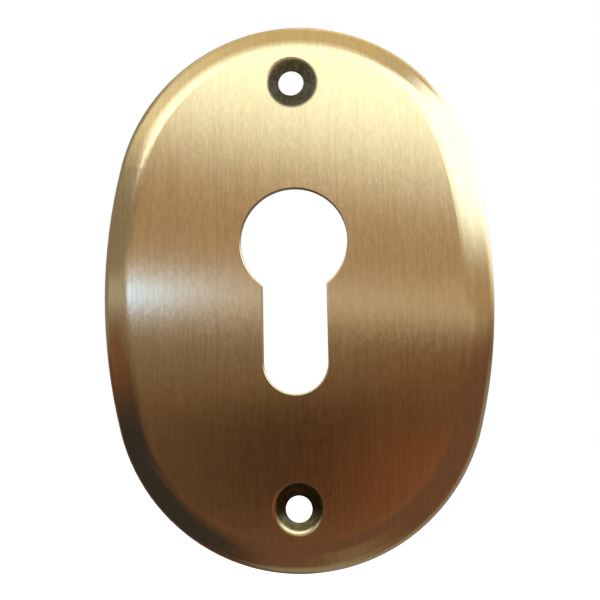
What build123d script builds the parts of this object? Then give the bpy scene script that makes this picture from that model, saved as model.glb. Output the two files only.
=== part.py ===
from build123d import *
import math
import os

# Oval outline: two end arcs joined by two flatter side arcs, all tangent
PLATE_WIDTH = 64.0
PLATE_HEIGHT = 90.0
SIDE_RADIUS = 90.5

# Pressed sheet
SHEET = 0.8
DEPTH = 3.5

# Rim, bent down from the face along a bevel and then straight back to the door
RIM_WIDTH = 4.0
SKIRT_HEIGHT = 0.3
CREASE_RADIUS = 4.2
EDGE_RADIUS = 1.4

# Profile lock cylinder that passes through the keyhole
CYLINDER_HEAD_DIAMETER = 17.0
CYLINDER_STEM_WIDTH = 10.0
CYLINDER_HEIGHT = 33.0

# Keyhole, centred on the plate and punched from the front
KEYHOLE_CLEARANCE = 0.2
KEYHOLE_CORNER_RADIUS = 0.5
DIE_ROLL = 0.2

# Screw holes, dimpled to seat a countersunk head, with a short straight wall that opens out at the back
SCREW_SPACING = 69.4
SCREW_HOLE_DIAMETER = 4.2
SCREW_WALL = 0.3
SINK_DIAMETER = 7.6
SINK_ANGLE = 130.0
SINK_RADIUS = 1.3

# Flat sheet left beyond a bend, where a bent section joins the face
LAND = 0.7

# The outline's centre lies on the door plane. Shapes are drawn with the door plane as XY and the face
# towards +Z, then stood up with the face towards -Y and the long way up.


def tangent_length(radius, bend):
    """Distance from a corner to where its fillet of `radius` starts, at a bend of `bend` degrees."""
    return radius * math.tan(math.radians(bend / 2))


def oval_arcs():
    """The outline's four arcs in order: centre, radius, start angle and sweep, in degrees."""
    half_width = PLATE_WIDTH / 2
    half_height = PLATE_HEIGHT / 2
    end_radius = (2 * SIDE_RADIUS * half_width - half_width**2 - half_height**2) / (2 * (SIDE_RADIUS - half_height))
    side_offset = SIDE_RADIUS - half_width
    end_offset = half_height - end_radius
    meeting = math.degrees(math.atan2(end_offset, side_offset))
    return [
        ((-side_offset, 0), SIDE_RADIUS, -meeting, 2 * meeting),
        ((0, end_offset), end_radius, meeting, 180 - 2 * meeting),
        ((side_offset, 0), SIDE_RADIUS, 180 - meeting, 2 * meeting),
        ((0, -end_offset), end_radius, 180 + meeting, 180 - 2 * meeting),
    ]


def oval(inset):
    """The outline drawn in by `inset`, as arcs about the same four centres."""
    return make_face([CenterArc(centre, radius - inset, start, sweep) for centre, radius, start, sweep in oval_arcs()])


def bevel_angle():
    """Slope of the rim's bevel, which runs from the crease and is tangent to the rounded outer edge."""
    edge_radius = EDGE_RADIUS + SHEET
    across = RIM_WIDTH - edge_radius
    rise = DEPTH - SKIRT_HEIGHT
    return math.degrees(math.atan2(rise, across) + math.acos(edge_radius / math.hypot(across, rise))) - 90


def rim_reach():
    """Distance in from the outline at which the rim's section ends on the flat face."""
    return RIM_WIDTH + tangent_length(CREASE_RADIUS + SHEET, bevel_angle()) + LAND


def rim_section(radius):
    """Section of the bent rim for an outline arc of `radius`, with the arc's axis at x = 0."""
    bevel = bevel_angle()
    turn = 90 - bevel
    crease = radius - RIM_WIDTH
    inner_end = radius - rim_reach()
    foot = DEPTH - RIM_WIDTH * math.tan(math.radians(bevel))
    corners = [
        ((inner_end, DEPTH), 0),
        ((crease, DEPTH), CREASE_RADIUS + SHEET),
        ((radius, foot), EDGE_RADIUS + SHEET),
        ((radius, 0), 0),
        ((radius - SHEET, 0), 0),
        ((radius - SHEET, foot - tangent_length(SHEET, turn)), EDGE_RADIUS),
        ((crease - tangent_length(SHEET, bevel), DEPTH - SHEET), CREASE_RADIUS),
        ((inner_end, DEPTH - SHEET), 0),
    ]
    return closed_section(corners)


def closed_section(corners):
    """Face inside a ring of corners, each given as its point and its fillet radius."""
    points = [point for point, _ in corners]
    radii = [radius for _, radius in corners]
    return make_face(FilletPolyline(*points, radius=radii, close=True))


def rim():
    """The rim all round: its section turned about the centre of each arc of the outline."""
    pieces = []
    for centre, radius, start, sweep in oval_arcs():
        turned = revolve(Plane.XZ * rim_section(radius), Axis.Z, sweep)
        pieces.append(Pos(*centre) * Rot(0, 0, start) * turned)
    return pieces


def sink_bend():
    """Angle through which the sheet bends from the face into a dimple's cone."""
    return 90 - SINK_ANGLE / 2


def dimple_reach():
    """Radius at which a dimple's section ends on the flat face."""
    return SINK_DIAMETER / 2 + tangent_length(SINK_RADIUS + SHEET, sink_bend()) + LAND


def dimple():
    """A screw dimple on its own axis: the sheet bent down into a cone, with the hole through it.

    Below its straight wall the hole's edge opens out square to the cone, as the bend turns it.
    """
    bend = math.radians(sink_bend())
    hole = SCREW_HOLE_DIAMETER / 2
    lip = SINK_DIAMETER / 2
    cone_foot = DEPTH - (lip - hole) * math.tan(bend)
    wall_foot = cone_foot - SCREW_WALL
    opening = SHEET - SCREW_WALL * math.cos(bend)
    corners = [
        ((dimple_reach(), DEPTH), 0),
        ((lip, DEPTH), SINK_RADIUS + SHEET),
        ((hole, cone_foot), 0),
        ((hole, wall_foot), 0),
        ((hole + opening * math.sin(bend), wall_foot - opening * math.cos(bend)), 0),
        ((lip + tangent_length(SHEET, sink_bend()), DEPTH - SHEET), SINK_RADIUS),
        ((dimple_reach(), DEPTH - SHEET), 0),
    ]
    return revolve(Plane.XZ * closed_section(corners), Axis.Z)


def keyhole():
    """The keyhole's outline: the lock cylinder's profile grown by the clearance."""
    drop = CYLINDER_HEIGHT - (CYLINDER_HEAD_DIAMETER + CYLINDER_STEM_WIDTH) / 2
    head_height = (CYLINDER_HEIGHT - CYLINDER_HEAD_DIAMETER) / 2
    head = Pos(0, head_height) * Circle(CYLINDER_HEAD_DIAMETER / 2 + KEYHOLE_CLEARANCE)
    stem_width = CYLINDER_STEM_WIDTH + 2 * KEYHOLE_CLEARANCE
    stem = Pos(0, head_height - drop / 2) * SlotCenterToCenter(drop, stem_width, rotation=90)
    outline = head + stem
    shoulders = outline.vertices().group_by(Axis.Y)[1]
    return fillet(shoulders, KEYHOLE_CORNER_RADIUS)


def face_sheet(screw_places):
    """The flat middle of the sheet, with the keyhole punched and its front edge rolled in by the punch."""
    opening = keyhole()
    clearings = [place * Circle(dimple_reach()) for place in screw_places]
    blank = extrude(Pos(0, 0, DEPTH - SHEET) * (oval(rim_reach()) - clearings), SHEET)
    punched = blank - extrude(Pos(0, 0, DEPTH - SHEET) * opening, SHEET)
    front_edges = punched.edges().group_by(Axis.Z)[-1]
    reach = opening.bounding_box()
    rolled = front_edges.filter_by_position(Axis.X, reach.min.X, reach.max.X)
    rolled = rolled.filter_by_position(Axis.Y, reach.min.Y, reach.max.Y)
    return fillet(rolled, DIE_ROLL)


def escutcheon_plate():
    """The whole plate: flat face, rim and dimples joined into one sheet, stood up on its frame."""
    screw_places = [Pos(0, side * SCREW_SPACING / 2) for side in (-1, 1)]
    plate = face_sheet(screw_places)
    plate += rim()
    plate += [place * dimple() for place in screw_places]
    return Plane.XZ * plate


os.makedirs("parts", exist_ok=True)
export_step(escutcheon_plate(), "parts/escutcheon_plate.step")
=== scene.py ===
"""Dress the pressed brass keyhole escutcheon and set it in a plain studio at the photograph's angle."""

import logging
import math
from dataclasses import dataclass
from enum import Enum
from typing import Any, Union

import bpy
import numpy as np
from mathutils import Matrix, Vector


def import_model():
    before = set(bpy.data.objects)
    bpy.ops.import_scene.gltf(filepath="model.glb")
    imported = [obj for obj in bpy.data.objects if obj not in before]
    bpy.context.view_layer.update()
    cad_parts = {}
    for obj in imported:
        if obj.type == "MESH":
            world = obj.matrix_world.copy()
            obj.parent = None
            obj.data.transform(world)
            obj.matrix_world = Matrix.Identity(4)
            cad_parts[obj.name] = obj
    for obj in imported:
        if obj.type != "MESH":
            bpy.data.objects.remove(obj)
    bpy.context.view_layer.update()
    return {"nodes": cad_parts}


LOG = logging.getLogger("escutcheon")
MM = 0.001
WHITE = (1.0, 1.0, 1.0)
NOISE_MEAN = 0.5

Vec3 = tuple[float, float, float]
Colour = tuple[float, float, float]
Span = tuple[float, float]


class Signal:
    """A number on its way through a shader. Arithmetic on it adds Math nodes to its graph."""

    def __init__(self, graph: "Graph", socket: bpy.types.NodeSocket) -> None:
        """Hold an output socket together with the graph that it belongs to."""
        self.graph = graph
        self.socket = socket

    def _math(self, operation: str, first: "Number", second: "Number" = 0.0) -> "Signal":
        """Result of a new Math node, where `second` counts only if the operation takes two values."""
        made = self.graph.node("ShaderNodeMath", {"operation": operation}, {0: first, 1: second})
        return Signal(self.graph, made.outputs[0])

    def __add__(self, other: "Number") -> "Signal":
        """Sum."""
        return self._math("ADD", self, other)

    def __radd__(self, other: "Number") -> "Signal":
        """Sum, with the number first."""
        return self._math("ADD", other, self)

    def __sub__(self, other: "Number") -> "Signal":
        """Difference."""
        return self._math("SUBTRACT", self, other)

    def __rsub__(self, other: "Number") -> "Signal":
        """Difference, with the number first."""
        return self._math("SUBTRACT", other, self)

    def __mul__(self, other: "Number") -> "Signal":
        """Product."""
        return self._math("MULTIPLY", self, other)

    def __rmul__(self, other: "Number") -> "Signal":
        """Product, with the number first."""
        return self._math("MULTIPLY", other, self)

    def __abs__(self) -> "Signal":
        """Size without its sign."""
        return self._math("ABSOLUTE", self)

    def root(self) -> "Signal":
        """Square root."""
        return self._math("SQRT", self)

    def either(self, other: "Number") -> "Signal":
        """The larger of two."""
        return self._math("MAXIMUM", self, other)

    def rise(self, low: float, high: float) -> "Signal":
        """A smooth step.

        Args:
            low: value up to which the step is 0.
            high: value from which the step is 1.

        Returns:
            The step, easing in and out between the two.
        """
        values = {"Value": self, "From Min": low, "From Max": high}
        made = self.graph.node("ShaderNodeMapRange", {"interpolation_type": "SMOOTHSTEP"}, values)
        return Signal(self.graph, made.outputs[0])

    def fall(self, low: float, high: float) -> "Signal":
        """A smooth step down from 1 at `low` to 0 at `high`."""
        return 1.0 - self.rise(low, high)

    def bearing(self, ahead: "Number") -> "Signal":
        """Angle in degrees of the point that lies this far to the side and `ahead` in front."""
        return self._math("ARCTAN2", self, ahead) * math.degrees(1.0)


Number = Union[float, Signal]


def length(first: Signal, second: Signal) -> Signal:
    """Length of the line whose two parts at right angles are given: the root of the sum of their squares."""
    return (first * first + second * second).root()


@dataclass(frozen=True)
class Grain:
    """A noise pattern, by how many of its waves fit in a metre along each axis.

    The detail is how many octaves of finer noise it has, and the seed tells one pattern from another.
    """

    scale: Vec3
    detail: float
    seed: float
    roughness: float = 0.6


class Graph:
    """The node tree of one material or of the world."""

    def __init__(self, owner: Union[bpy.types.Material, bpy.types.World]) -> None:
        """Empty the owner's node tree and take it over.

        Args:
            owner: the material or the world.
        """
        owner.use_nodes = True
        self.tree = owner.node_tree
        self.tree.nodes.clear()

    def node(
        self, kind: str, settings: dict[str, Any], sockets: dict[Union[str, int], Any]
    ) -> bpy.types.Node:
        """Add any node.

        Args:
            kind: the node's type.
            settings: its properties, which are set first.
            sockets: a value or a link for each input, by name or by place.

        Returns:
            The new node.
        """
        made = self.tree.nodes.new(kind)
        for name, value in settings.items():
            setattr(made, name, value)
        for key, value in sockets.items():
            self.feed(made.inputs[key], value)
        return made

    def feed(self, target: bpy.types.NodeSocket, value: Any) -> None:
        """Link an input or set its value.

        Args:
            target: the input.
            value: a signal, an output socket or a plain value, which for a colour is three numbers.
        """
        if isinstance(value, Signal):
            self.tree.links.new(value.socket, target)
        elif isinstance(value, bpy.types.NodeSocket):
            self.tree.links.new(value, target)
        elif target.type == "RGBA":
            target.default_value = (*value, 1.0)
        else:
            target.default_value = value

    def place(self) -> bpy.types.NodeSocket:
        """The object's own coordinates."""
        return self.node("ShaderNodeTexCoord", {}, {}).outputs["Object"]

    def parts(self, vector: bpy.types.NodeSocket) -> tuple[Signal, Signal, Signal]:
        """The three numbers of a vector."""
        made = self.node("ShaderNodeSeparateXYZ", {}, {0: vector})
        return tuple(Signal(self, out) for out in made.outputs)

    def mix(self, share: Number, first: Any, second: Any) -> bpy.types.NodeSocket:
        """Two colours blended, with `share` of the second."""
        # A Mix node's colours are its inputs 6 and 7 and its output 2
        settings = {"data_type": "RGBA", "clamp_factor": True}
        return self.node("ShaderNodeMix", settings, {0: share, 6: first, 7: second}).outputs[2]

    def scaled(self, colour: Any, factor: Number) -> bpy.types.NodeSocket:
        """A colour times a number."""
        made = self.node("ShaderNodeVectorMath", {"operation": "SCALE"}, {0: colour, "Scale": factor})
        return made.outputs[0]

    def noise(self, grain: Grain) -> Signal:
        """Noise on the object's own coordinates.

        Args:
            grain: the pattern.

        Returns:
            The noise, from 0 to 1 and mostly near a half.
        """
        shift = (grain.seed, grain.seed, grain.seed)
        laying = {"Vector": self.place(), "Location": shift, "Scale": grain.scale}
        laid = self.node("ShaderNodeMapping", {}, laying).outputs[0]
        values = {"Vector": laid, "Scale": 1.0, "Detail": grain.detail, "Roughness": grain.roughness}
        return Signal(self, self.node("ShaderNodeTexNoise", {}, values).outputs[0])

    def seen(self) -> Signal:
        """Tell the rays that show a surface to the camera: directly, in a reflection or through glass.

        Returns:
            1 for such a ray and 0 for any other.
        """
        path = self.node("ShaderNodeLightPath", {}, {}).outputs
        direct, glossy, through = (
            Signal(self, path[kind]) for kind in ("Is Camera Ray", "Is Glossy Ray", "Is Transmission Ray")
        )
        return direct.either(glossy).either(through)

    def close(self, surface: bpy.types.NodeSocket, kind: str = "ShaderNodeOutputMaterial") -> None:
        """Link the finished surface to the tree's output."""
        self.node(kind, {}, {"Surface": surface})


@dataclass(frozen=True)
class Stain:
    """A round patch of patina left in a screw dimple, by its middle and its radius on the face.

    The blend is half the width of its soft edge. The crust is how much of its metal has become matt oxide.
    """

    across: float
    height: float
    radius: float
    blend: float
    patina: Colour
    crust: float

    def cover(self, x: Signal, z: Signal) -> Signal:
        """1 where the place across and up the plate is inside the patch, and 0 outside, with a soft edge."""
        off_edge = length(x - self.across, z - self.height) - self.radius
        return off_edge.fall(-self.blend, self.blend)


@dataclass(frozen=True)
class BrushedBrass:
    """Antique brass: darkened all over, then brushed bright along the plate's height on the front.

    A turn is a span of the surface normal's part along Y, which is -1 on the face and 1 on the back.
    """

    slot: str = "brushed_brass"
    bright: Colour = (0.625, 0.431, 0.203)
    worn: Colour = (0.557, 0.381, 0.172)
    dull: Colour = (0.23, 0.160, 0.075)
    upper_stain: Stain = Stain(
        across=0.30 * MM, height=34.50 * MM, radius=4.09 * MM, blend=0.36 * MM,
        patina=(0.104, 0.083, 0.034), crust=0.8,
    )
    lower_stain: Stain = Stain(
        across=0.10 * MM, height=-34.30 * MM, radius=3.80 * MM, blend=0.25 * MM,
        patina=(0.068, 0.048, 0.016), crust=0.0,
    )
    keyhole_reach: Span = (9.5 * MM, 17.5 * MM)
    keyhole_fade: float = 1.0 * MM
    edge_patina: float = 0.1

    face_turn: Span = (-0.30, 0.0)
    back_turn: Span = (-0.1, 0.3)
    edge_turn: Span = (-0.97, -0.85)

    hairline: Grain = Grain((3000.0, 400.0, 800.0), detail=2.0, seed=0.0)
    stroke: Grain = Grain((1700.0, 100.0, 110.0), detail=2.0, seed=3.0)
    scratch: Grain = Grain((2600.0, 100.0, 22.0), detail=1.0, seed=11.0)
    cloud: Grain = Grain((90.0, 90.0, 45.0), detail=3.0, seed=7.0)
    speckle: Grain = Grain((1500.0, 1500.0, 1500.0), detail=2.0, seed=5.0)
    hairline_share: float = 0.6
    stroke_share: float = 0.4
    scratch_share: float = 0.2
    scratch_onset: Span = (0.66, 0.74)
    contrast: Span = (0.35, 0.65)
    mottle_least: float = 0.65
    mottle_range: float = 0.7
    cloud_least: float = 0.5

    roughness: float = 0.168
    streak_roughness: float = 0.06
    patina_roughness: float = 0.30
    cloud_roughness: float = 0.2
    crust_roughness: float = 0.3
    patina_metal: float = 0.9
    back_oxide: float = 0.3
    anisotropy: float = 0.88
    specular: float = 0.25
    bump_strength: float = 0.25
    bump_depth: float = 0.035 * MM

    def _streaks(self, graph: Graph) -> Signal:
        """Brush marks, drawn out along the height.

        Args:
            graph: the material's nodes.

        Returns:
            Hairlines and broader strokes, less a few deep scratches; mostly near a half.
        """
        fine = graph.noise(self.hairline)
        broad = graph.noise(self.stroke)
        deep = graph.noise(self.scratch).rise(*self.scratch_onset)
        return self.hairline_share * fine + self.stroke_share * broad - self.scratch_share * deep

    def _cut_edge(self, x: Signal, z: Signal, facing: Signal) -> Signal:
        """Where the keyhole's edge turns away from the face.

        Args:
            x: the place across the plate.
            z: the place along its height.
            facing: the surface normal's part along Y.

        Returns:
            1 on the edge and 0 off it.
        """
        half_width, half_height = self.keyhole_reach
        beside = abs(x).fall(half_width, half_width + self.keyhole_fade)
        level = abs(z).fall(half_height, half_height + self.keyhole_fade)
        return beside * level * facing.rise(*self.edge_turn)

    def material(self) -> bpy.types.Material:
        """Build the finish.

        The front is brushed brass. The dimples' cones, which a brush can't reach, keep a speckled patina, the
        keyhole's edge keeps a little of it, and the back is dull and clouded.

        Returns:
            The material.
        """
        made = bpy.data.materials.new(self.slot)
        graph = Graph(made)
        x, _, z = graph.parts(graph.place())
        _, facing, _ = graph.parts(graph.node("ShaderNodeNewGeometry", {}, {}).outputs["Normal"])
        streak = self._streaks(graph)
        cloud = graph.noise(self.cloud)
        speckle = graph.noise(self.speckle).rise(*self.contrast)

        upper = self.upper_stain.cover(x, z)
        lower = self.lower_stain.cover(x, z)
        behind = facing.rise(*self.back_turn)
        crust = (self.upper_stain.crust * upper + self.lower_stain.crust * lower) * (1.0 - behind)
        edge = 1.0 - self.edge_patina * self._cut_edge(x, z, facing)
        brushed = facing.fall(*self.face_turn) * (1.0 - (upper + lower)) * edge

        metal = graph.mix(streak.rise(*self.contrast), self.worn, self.bright)
        patina = graph.mix(upper, self.lower_stain.patina, self.upper_stain.patina)
        mottled = graph.scaled(patina, self.mottle_least + self.mottle_range * speckle)
        clouded = graph.scaled(self.dull, self.cloud_least + cloud)
        colour = graph.mix(brushed, graph.mix(behind, mottled, clouded), metal)

        face_rough = self.roughness + self.streak_roughness * (streak - NOISE_MEAN)
        other_rough = self.patina_roughness + self.cloud_roughness * cloud + self.crust_roughness * crust
        other_metal = self.patina_metal - self.back_oxide * behind - crust
        bumps = {"Strength": self.bump_strength, "Distance": self.bump_depth, "Height": streak}
        sockets = {
            "Base Color": colour,
            "Metallic": other_metal + (1.0 - self.patina_metal) * brushed,
            "Roughness": brushed * face_rough + (1.0 - brushed) * other_rough,
            "Anisotropic": self.anisotropy,
            "Specular IOR Level": self.specular,
            "Normal": graph.node("ShaderNodeBump", {}, bumps).outputs[0],
        }
        graph.close(graph.node("ShaderNodeBsdfPrincipled", {}, sockets).outputs[0])
        return made


class Glow(Enum):
    """Light that the tent's panels give, as a colour times a strength."""

    SHADE = (0.215, 0.132, 0.115)
    TABLE = (0.225, 0.125, 0.078)
    EMBER = (0.465, 0.205, 0.132)
    HAZE = (0.29, 0.25, 0.20)
    REVEAL = (0.60, 0.54, 0.46)
    BACKLIGHT = (1.5, 1.65, 1.75)
    WALL = (0.57, 0.45, 0.34)
    BAND = (0.90, 0.92, 0.95)
    SOFTBOX = (2.08, 2.70, 3.45)
    SIDE = (1.24, 1.38, 1.34)
    CEILING = (0.95, 0.94, 0.77)
    RECESS = (0.37, 0.37, 0.38)
    SILL = (0.62, 0.70, 0.85)
    COPPER = (0.27, 0.140, 0.115)
    FLASH = (2.4, 3.25, 4.7)
    GLEAM = (3.1, 3.4, 4.4)
    SHADOW = (0.195, 0.144, 0.118)
    LENS = (0.02, 0.008, 0.004)
    UMBER = (0.145, 0.098, 0.072)
    APRON = (0.37, 0.33, 0.275)
    CORNER = (0.05, 0.056, 0.075)
    PAPER = (0.40, 0.41, 0.45)


@dataclass(frozen=True)
class Panel:
    """A soft-edged panel of the tent, by its bearing and height in degrees as seen from the plate.

    Each edge is given by the two angles between which it fades. The tilt is how many degrees the panel drops
    for each degree to the right. An edge that isn't given lies out of reach.
    """

    glow: Glow
    foot: Span = (-101.0, -100.0)
    top: Span = (100.0, 101.0)
    left: Span = (-201.0, -200.0)
    right: Span = (200.0, 201.0)
    tilt: float = 0.0

    def mask(self, bearing: Signal, height: Signal) -> Signal:
        """How much of the panel a direction sees.

        Args:
            bearing: degrees to the right of straight in front of the plate.
            height: degrees above the horizon.

        Returns:
            1 on the panel and 0 off it, with soft edges.
        """
        along = height + bearing * self.tilt
        across = bearing.rise(*self.left) * bearing.fall(*self.right)
        return across * along.rise(*self.foot) * along.fall(*self.top)


def outward(bearing: Union[float, np.ndarray], height: Union[float, np.ndarray]) -> np.ndarray:
    """Directions from the plate: sine and cosine of the bearing, drawn in by the cosine of the height.

    Args:
        bearing: degrees to the right of straight in front of the plate.
        height: degrees above the horizon.

    Returns:
        Unit vectors along the last axis.
    """
    turn = np.radians(bearing)
    rise = np.radians(height)
    return np.stack([np.sin(turn) * np.cos(rise), -np.cos(turn) * np.cos(rise), np.sin(rise)], axis=-1)


def add_mesh(name: str, points: np.ndarray, quads: np.ndarray) -> bpy.types.Object:
    """Put a mesh into the scene.

    Args:
        name: the object's name.
        points: one row of x, y, z for each vertex.
        quads: one row of four vertex numbers for each face.

    Returns:
        The new object, shaded smooth.
    """
    mesh = bpy.data.meshes.new(name)
    mesh.from_pydata(points.tolist(), [], quads.tolist())
    mesh.polygons.foreach_set("use_smooth", np.ones(len(mesh.polygons), dtype=bool))
    mesh.update()
    made = bpy.data.objects.new(name, mesh)
    bpy.context.scene.collection.objects.link(made)
    return made


def grid_quads(rows: int, columns: int) -> np.ndarray:
    """Faces of a grid of points numbered row by row: each joins a point, its next and the two below them."""
    corner = (np.arange(rows - 1)[:, None] * columns + np.arange(columns - 1)).ravel()
    return np.stack([corner, corner + 1, corner + columns + 1, corner + columns], axis=1)


@dataclass
class Studio:
    """A plain studio: pale floor, white surroundings, and a tent of soft panels round the plate.

    The floor's lift is how far it is raised towards white where it is seen, near the plate and far from it.
    """

    surroundings_level: float = 0.5

    floor_height: float = -0.100
    floor_reach: float = 3.0
    floor_steps: int = 3
    floor_colour: Colour = (0.85, 0.85, 0.84)
    floor_lift: Span = (0.28, 0.73)
    floor_fade: Span = (0.12, 0.30)

    tent_radius: float = 0.70
    tent_gap: float = 0.003
    tent_pole: float = 89.9
    tent_steps: int = 49
    panels: tuple[Panel, ...] = (
        Panel(Glow.TABLE, foot=(-16.0, -8.0), right=(20.0, 45.0)),
        Panel(Glow.EMBER, foot=(-28.0, -5.0), top=(-4.0, 0.0), left=(-4.0, 0.0), right=(2.0, 16.0), tilt=0.2),
        Panel(Glow.HAZE, foot=(-2.5, 3.0), right=(-6.0, 1.0)),
        Panel(Glow.WALL, foot=(3.8, 6.8)),
        Panel(Glow.REVEAL, foot=(-3.5, 6.0), left=(22.0, 32.0)),
        Panel(Glow.BACKLIGHT, foot=(2.0, 12.0), left=(75.0, 105.0)),
        Panel(Glow.BAND, foot=(4.4, 6.2), top=(6.75, 8.65), right=(30.0, 60.0), tilt=0.085),
        Panel(Glow.SOFTBOX, foot=(11.6, 21.9), right=(16.0, 34.0), tilt=0.19),
        Panel(Glow.SIDE, foot=(10.0, 20.0), right=(-54.0, -38.0)),
        Panel(Glow.GLEAM, foot=(17.0, 23.0), top=(31.0, 44.0), left=(-60.0, -48.0), right=(-28.0, -18.0)),
        Panel(Glow.CEILING, foot=(34.0, 70.0)),
        Panel(Glow.SHADOW, foot=(-14.0, -8.0), top=(-3.0, 1.5), left=(-30.0, -20.0), right=(-3.0, 1.0)),
        Panel(Glow.LENS, foot=(-11.0, -5.5), top=(-1.5, 2.0), left=(-12.5, -8.5), right=(-1.5, 1.5)),
        Panel(Glow.RECESS, foot=(2.0, 6.5), top=(18.0, 42.0), right=(-46.0, -32.0)),
        Panel(Glow.RECESS, foot=(-2.0, 3.0), top=(40.0, 60.0), right=(-95.0, -75.0)),
        Panel(Glow.RECESS, foot=(9.5, 13.0), top=(15.5, 21.0), left=(-70.0, -60.0), right=(-28.0, -18.0)),
        Panel(Glow.SILL, foot=(4.6, 6.6), top=(8.6, 10.6), left=(-90.0, -70.0), right=(-44.0, -34.0)),
        Panel(Glow.COPPER, foot=(-5.0, -2.0), top=(1.0, 4.0), left=(-90.0, -70.0), right=(-58.0, -50.0)),
        Panel(Glow.UMBER, foot=(-60.0, -45.0), top=(-12.0, -6.0), left=(-64.0, -54.0), right=(-26.0, -14.0)),
        Panel(
            Glow.CORNER, foot=(-17.0, -8.0), top=(-1.0, 8.5), left=(-88.0, -72.0), right=(-35.0, -23.0),
            tilt=-0.15,
        ),
        Panel(
            Glow.CORNER, foot=(-100.0, -85.0), top=(-45.0, -35.0), left=(-110.0, -95.0), right=(-45.0, -32.0),
            tilt=0.4,
        ),
        Panel(Glow.CORNER, top=(-12.0, -5.0), left=(-130.0, -112.0), right=(-92.0, -76.0)),
        Panel(Glow.APRON, top=(-72.0, -50.0), left=(4.0, 22.0), right=(50.0, 75.0)),
        Panel(Glow.FLASH, foot=(8.2, 20.6), top=(41.0, 53.0), left=(8.0, 20.0), right=(120.0, 140.0)),
        Panel(Glow.PAPER, top=(-8.0, 0.0), left=(80.0, 105.0)),
        Panel(Glow.PAPER, top=(-84.0, -66.0)),
    )

    window_bearing: float = -22.0
    window_height: float = 7.45
    window_distance: float = 0.665
    window_size: Span = (12.0, 1.6)
    window_colour: Colour = (0.17, 0.46, 1.30)
    window_level: float = 9.0

    lamp_place: Vec3 = (0.15, 0.35, 0.8)
    lamp_width: float = 0.35
    lamp_power: float = 4.0

    def build(self) -> None:
        """Make the surroundings, the floor, the tent and the lamps."""
        self._surroundings()
        self._floor()
        self._tent()
        self._window()
        self._lamp()

    def _surroundings(self) -> None:
        """White where it is seen, and a plain level of light elsewhere."""
        world = bpy.data.worlds.new("surroundings")
        bpy.context.scene.world = world
        graph = Graph(world)
        level = self.surroundings_level + (1.0 - self.surroundings_level) * graph.seen()
        white = graph.node("ShaderNodeBackground", {}, {"Color": WHITE, "Strength": level})
        graph.close(white.outputs[0], "ShaderNodeOutputWorld")

    def _floor(self) -> None:
        """A flat square of pale floor.

        It is lifted towards white where it is seen, more so away from the plate, and keeps a soft shadow.
        """
        reach = np.linspace(-self.floor_reach, self.floor_reach, self.floor_steps)
        across, along = np.meshgrid(reach, reach)
        points = np.stack([across, along, np.full_like(across, self.floor_height)], axis=-1).reshape(-1, 3)
        floor = add_mesh("floor", points, grid_quads(*across.shape))
        paint = bpy.data.materials.new("pale_floor")
        graph = Graph(paint)
        matt = graph.node("ShaderNodeBsdfDiffuse", {}, {"Color": self.floor_colour})
        x, y, _ = graph.parts(graph.place())
        far = length(x, y).rise(*self.floor_fade)
        near_lift, far_lift = self.floor_lift
        white = graph.scaled(WHITE, graph.seen() * (near_lift + (far_lift - near_lift) * far))
        lift = graph.node("ShaderNodeEmission", {}, {"Color": white, "Strength": 1.0})
        both = graph.node("ShaderNodeAddShader", {}, {0: matt.outputs[0], 1: lift.outputs[0]})
        graph.close(both.outputs[0])
        floor.data.materials.append(paint)

    def _tent(self) -> None:
        """A globe round the plate, cut off flat just above the floor and seen in reflections only.

        A point is its bearing and height on the globe, drawn in along the same line to the cut where it
        would lie below it.
        """
        bearing = np.linspace(-180.0, 180.0, self.tent_steps)
        height = np.linspace(-self.tent_pole, self.tent_pole, self.tent_steps)
        globe = outward(*np.meshgrid(bearing, height))
        cut = self.floor_height + self.tent_gap
        reach = np.minimum(self.tent_radius, cut / np.minimum(globe[..., 2], cut / self.tent_radius))
        points = (globe * reach[..., None]).reshape(-1, 3)
        tent = add_mesh("tent", points, grid_quads(*reach.shape))
        cloth = bpy.data.materials.new("tent_cloth")
        graph = Graph(cloth)
        x, y, z = graph.parts(graph.place())
        turn = x.bearing(0.0 - y)
        rise = z.bearing(length(x, y))
        light = Glow.SHADE.value
        for panel in self.panels:
            light = graph.mix(panel.mask(turn, rise), light, panel.glow.value)
        glow = graph.node("ShaderNodeEmission", {}, {"Color": light, "Strength": 1.0})
        graph.close(glow.outputs[0])
        tent.data.materials.append(cloth)
        tent.visible_camera = False
        tent.visible_diffuse = False
        tent.visible_shadow = False

    def _aimed_lamp(self, name: str, place: Vector, size: Span) -> bpy.types.Light:
        """A rectangular lamp that faces the plate.

        Args:
            name: the lamp's name.
            place: its middle.
            size: its width and height.

        Returns:
            The lamp.
        """
        lamp = bpy.data.lights.new(name, "AREA")
        lamp.shape = "RECTANGLE"
        lamp.size, lamp.size_y = size
        holder = bpy.data.objects.new(name, lamp)
        holder.location = place
        holder.rotation_euler = (-place).to_track_quat("-Z", "Y").to_euler()
        holder.visible_camera = False
        bpy.context.scene.collection.objects.link(holder)
        return lamp

    def _window(self) -> None:
        """A small bright window of daylight, low on the left.

        Its size is two angles as seen from the plate, and its power is its level times pi times its area.
        """
        place = Vector(outward(self.window_bearing, self.window_height)) * self.window_distance
        width, height = 2.0 * self.window_distance * np.tan(np.radians(self.window_size) / 2.0)
        lamp = self._aimed_lamp("window", place, (width, height))
        lamp.color = self.window_colour
        lamp.energy = self.window_level * math.pi * width * height

    def _lamp(self) -> None:
        """A wide lamp above and behind, which lights the floor and the plate's back."""
        lamp = self._aimed_lamp("overhead_lamp", Vector(self.lamp_place), (self.lamp_width, self.lamp_width))
        lamp.energy = self.lamp_power


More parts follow.
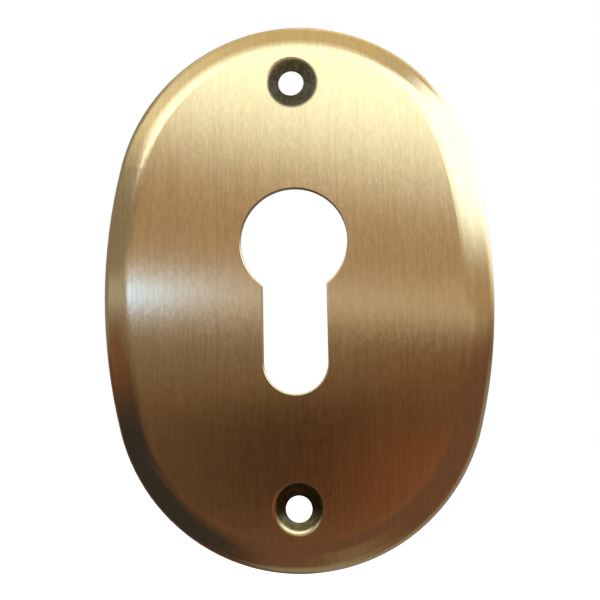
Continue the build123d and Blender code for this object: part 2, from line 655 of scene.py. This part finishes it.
@dataclass
class PhotoCamera:
    """The camera at the photograph's viewing angle: close, a little to the right of the plate and below it.

    The bearing and height are where it stands as seen from its aim, in degrees, and it is turned by the roll.
    """

    distance: float = 0.170
    bearing: float = 5.25
    height: float = -7.1
    roll: float = 1.15
    aim: Vec3 = (0.56 * MM, 0.0, -1.20 * MM)
    focal_pixels: float = 1037.0
    image_pixels: float = 600.0
    sensor: float = 36.0
    clip_start: float = 10.0 * MM

    def build(self) -> bpy.types.Object:
        """Make the camera and give it to the scene.

        Returns:
            The camera's object.
        """
        lens = bpy.data.cameras.new("photo_camera")
        lens.sensor_width = self.sensor
        lens.lens = self.focal_pixels / self.image_pixels * self.sensor
        lens.clip_start = self.clip_start
        camera = bpy.data.objects.new("photo_camera", lens)
        bpy.context.scene.collection.objects.link(camera)
        back = Vector(outward(self.bearing, self.height))
        right = Vector((0.0, 0.0, 1.0)).cross(back).normalized()
        axes = Matrix((right, back.cross(right), back)).transposed()
        axes = axes @ Matrix.Rotation(-math.radians(self.roll), 3, "Z")
        camera.matrix_world = Matrix.Translation(Vector(self.aim) + back * self.distance) @ axes.to_4x4()
        bpy.context.scene.camera = camera
        return camera


@dataclass
class EscutcheonPlate:
    """The plate itself: one pressed sheet in brushed antique brass."""

    node: str = "escutcheon_plate"
    finish: BrushedBrass = BrushedBrass()

    def dress(self, body: bpy.types.Object) -> bpy.types.Object:
        """Give the plate its finish.

        Args:
            body: the plate's object.

        Returns:
            The same object.
        """
        body.data.materials.clear()
        body.data.materials.append(self.finish.material())
        return body


def main() -> None:
    """Load the frame, then build the camera, the studio and the plate in order."""
    logging.basicConfig(level=logging.INFO, format="%(name)s: %(message)s")
    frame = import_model()
    bpy.context.scene.view_settings.view_transform = "Standard"
    camera = PhotoCamera().build()
    LOG.info("camera %s at %s", camera.name, tuple(round(v, 4) for v in camera.location))
    studio = Studio()
    studio.build()
    LOG.info("studio with %d tent panels", len(studio.panels))
    plate = EscutcheonPlate()
    dressed = plate.dress(frame["nodes"][plate.node])
    LOG.info("%s dressed in %s", dressed.name, plate.finish.slot)


if __name__ == "__main__":
    main()
